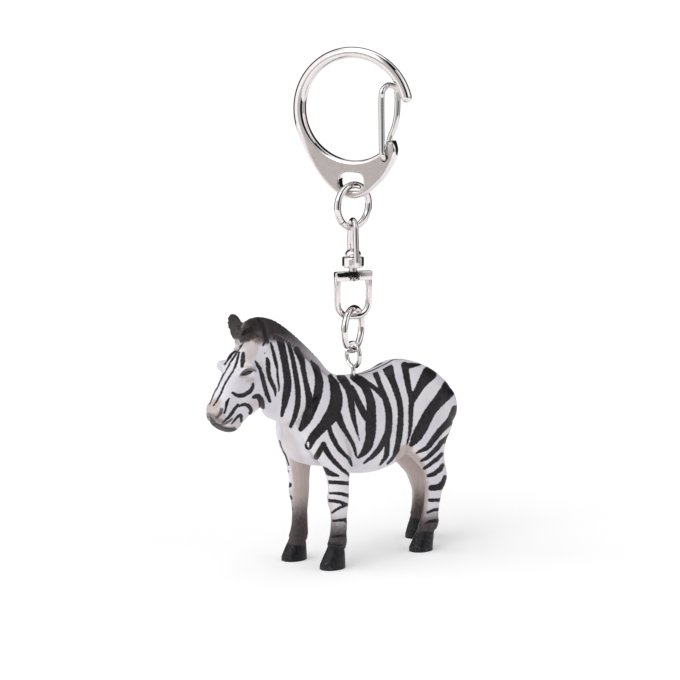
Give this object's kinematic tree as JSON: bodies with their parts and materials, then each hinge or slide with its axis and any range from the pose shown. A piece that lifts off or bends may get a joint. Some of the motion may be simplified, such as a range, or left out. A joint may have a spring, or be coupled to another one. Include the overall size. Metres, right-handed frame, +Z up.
{
  "type": "toy zebra key ring figure",
  "caption": "Painted toy zebra standing on four hooves, hung from a sprung ring hook by jump rings, a turning swivel and a screw eye in its back.",
  "frame": {"origin": "the hang point: the inside of the hook ring's top, on the chain's upright line", "axes": "+Z up along the hanging chain; the zebra faces -X with its left side towards -Y; its soles are level"},
  "size_m": [0.0772, 0.0265, 0.1288],
  "materials": {
    "polished_nickel": "bright nickel plate, the hook's flat face satin",
    "spring_steel": "plated spring wire",
    "painted_plastic": "soft moulded plastic, hand painted: white with black stripes, dark hooves and mane"
  },
  "bodies": {
    "hook": {"clasp_hook": "polished_nickel"},
    "gate": {"clasp_gate": "spring_steel"},
    "upper_ring": {"upper_jump_ring": "polished_nickel"},
    "swivel_top": {"swivel_eye": "polished_nickel"},
    "shackle": {"swivel_rivet": "polished_nickel", "swivel_shackle": "polished_nickel"},
    "lower_ring": {"lower_jump_ring": "polished_nickel"},
    "figure": {"screw_eye": "spring_steel", "zebra_figure": "painted_plastic"}
  },
  "joints": [
    {"name": "gate_hinge", "type": "hinge", "parent": "hook", "child": "gate", "pos_m": [0.00458, -0.00733, -0.02417], "axis": [-0.848, -0.5299, 0], "range_deg": [0, 30], "stiffness_Nm_per_rad": 0.004, "springref_deg": -28.65},
    {"name": "upper_ring_swing", "type": "hinge", "parent": "hook", "child": "upper_ring", "pos_m": [0, 0, -0.03148], "axis": [0.848, 0.5299, 0], "range_deg": [-25, 25]},
    {"name": "swivel_swing", "type": "hinge", "parent": "upper_ring", "child": "swivel_top", "pos_m": [0, 0, -0.04202], "axis": [0.9962, 0.0872, 0], "range_deg": [-35, 35]},
    {"name": "swivel_spin", "type": "hinge", "parent": "swivel_top", "child": "shackle", "pos_m": [0, 0, -0.053], "axis": [0, 0, 1], "continuous": true},
    {"name": "lower_ring_swing", "type": "hinge", "parent": "shackle", "child": "lower_ring", "pos_m": [0, 0, -0.06442], "axis": [0.9397, -0.342, 0], "range_deg": [-35, 35]},
    {"name": "figure_swing", "type": "hinge", "parent": "lower_ring", "child": "figure", "pos_m": [0, 0, -0.07297], "axis": [0.8829, 0.4695, 0], "range_deg": [-30, 30]}
  ]
}
